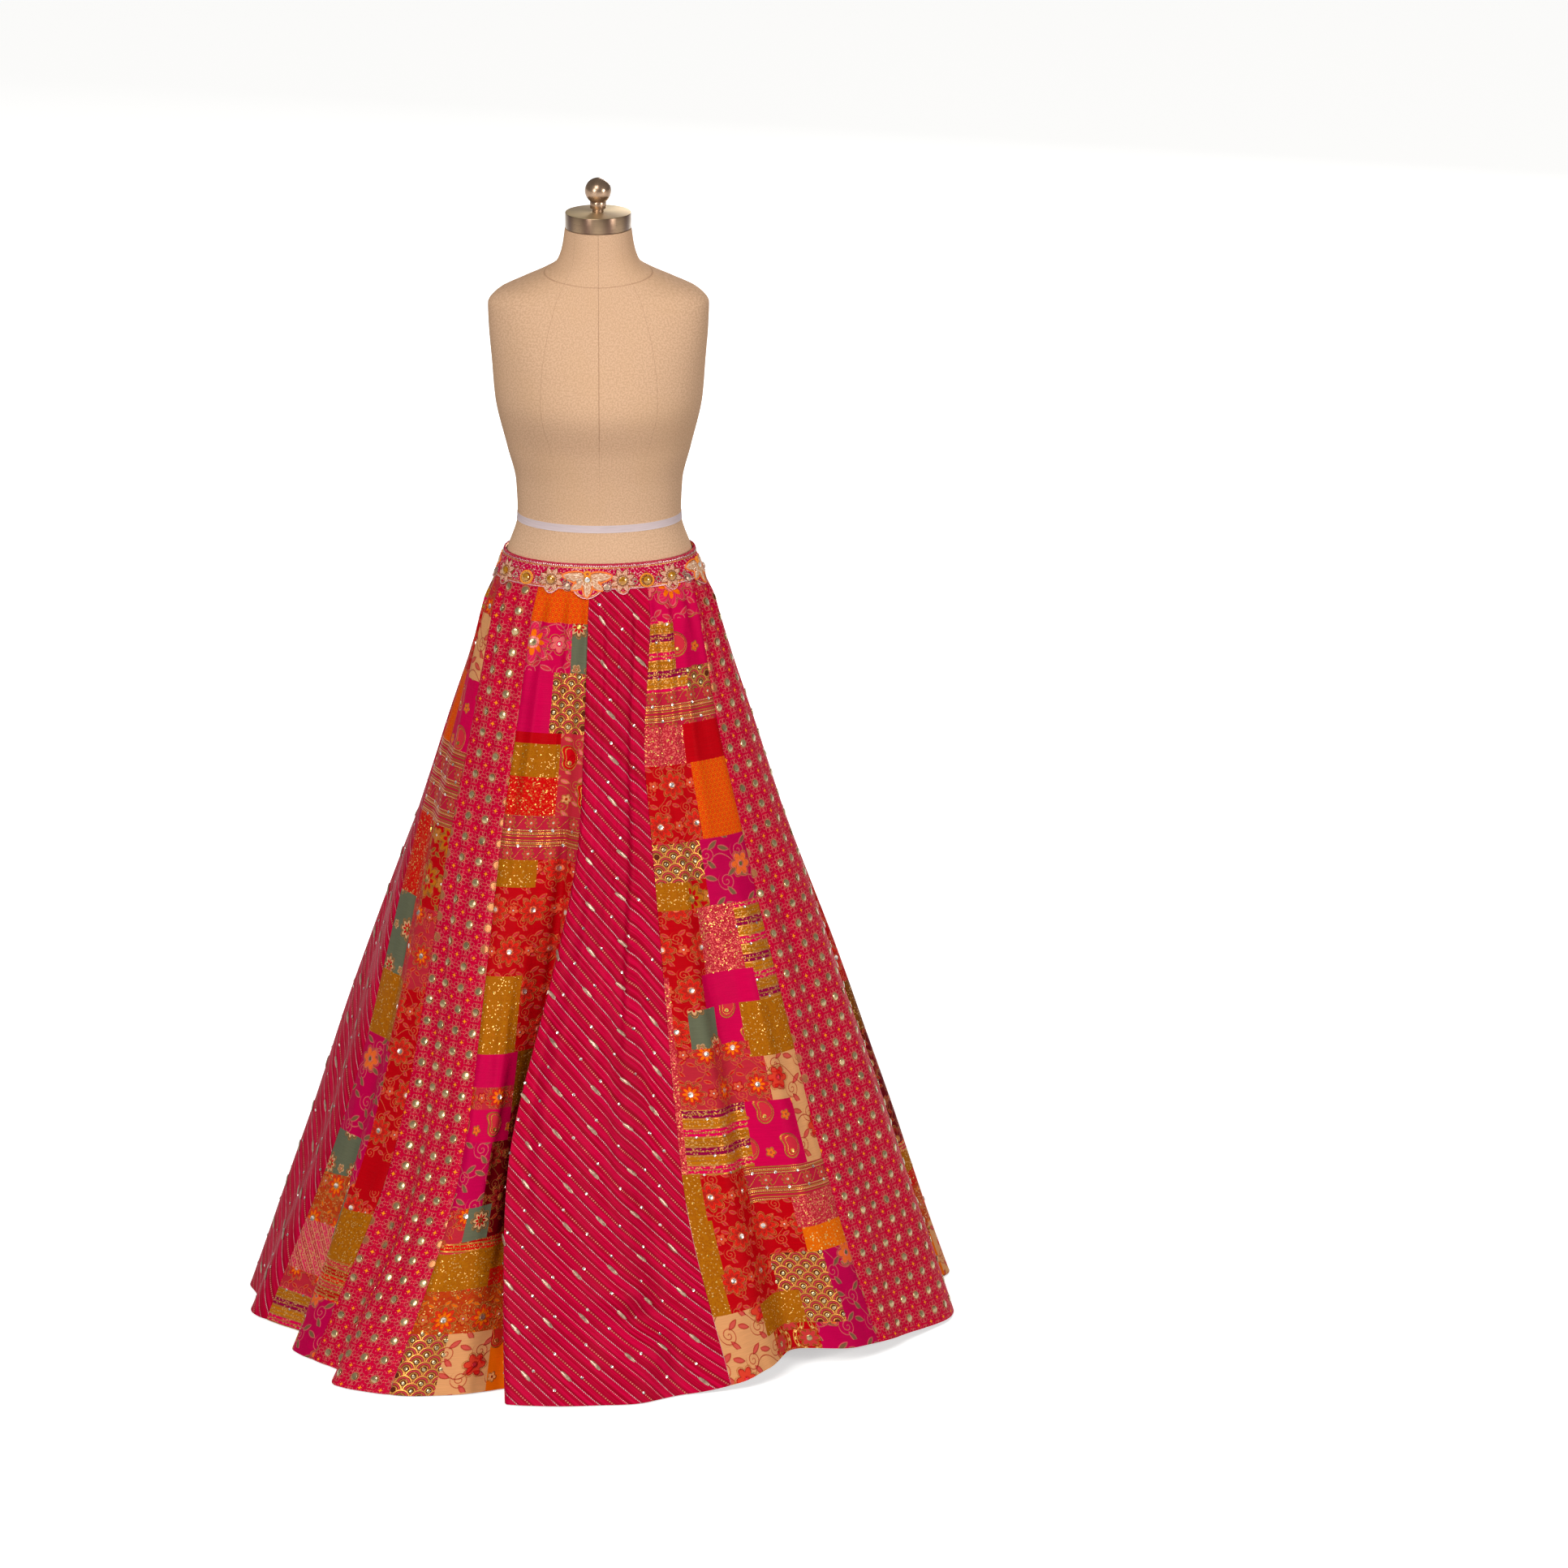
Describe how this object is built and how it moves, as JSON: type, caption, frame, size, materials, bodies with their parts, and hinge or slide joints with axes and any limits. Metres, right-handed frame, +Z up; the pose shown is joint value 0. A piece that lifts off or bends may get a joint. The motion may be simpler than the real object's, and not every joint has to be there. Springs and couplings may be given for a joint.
{
  "type": "lehenga skirt on a dress form",
  "caption": "Floor-length flared lehenga skirt of striped, flowered and patchwork silk kalis under a scalloped waistband, on a limbless linen dress form with a pole and base.",
  "frame": {"origin": "on the floor, under the middle of the whole object's box; the stand's pole is 3 mm right of it and 8 mm in front of it", "axes": "+Z up, -Y towards the front of the skirt, +X to the viewer's right"},
  "size_m": [0.9832, 0.9552, 1.6035],
  "materials": {
    "stripe_silk": "magenta raw silk with diagonal beaded stripes",
    "flower_silk": "magenta raw silk with a grid of small embroidered flowers and mirrors",
    "patchwork": "pieced silks in red, orange, mustard, peach and sage with gold embroidery",
    "band_silk": "magenta silk band with appliqued lotuses and flowers, corded edges",
    "form_linen": "plain beige linen cover, matt",
    "brushed_cap": "warm brushed metal",
    "stand_paint": "dark satin powder coat"
  },
  "bodies": {
    "root": {"kali_00": "stripe_silk", "kali_01": "patchwork", "kali_02": "flower_silk", "kali_03": "patchwork", "kali_04": "stripe_silk", "kali_05": "patchwork", "kali_06": "flower_silk", "kali_07": "patchwork", "kali_08": "stripe_silk", "kali_09": "patchwork", "kali_10": "flower_silk", "kali_11": "patchwork", "waistband": "band_silk", "form_body": "form_linen", "form_neck_cap": "brushed_cap", "form_finial": "brushed_cap", "stand_pole": "stand_paint", "stand_base": "stand_paint"}
  },
  "joints": []
}
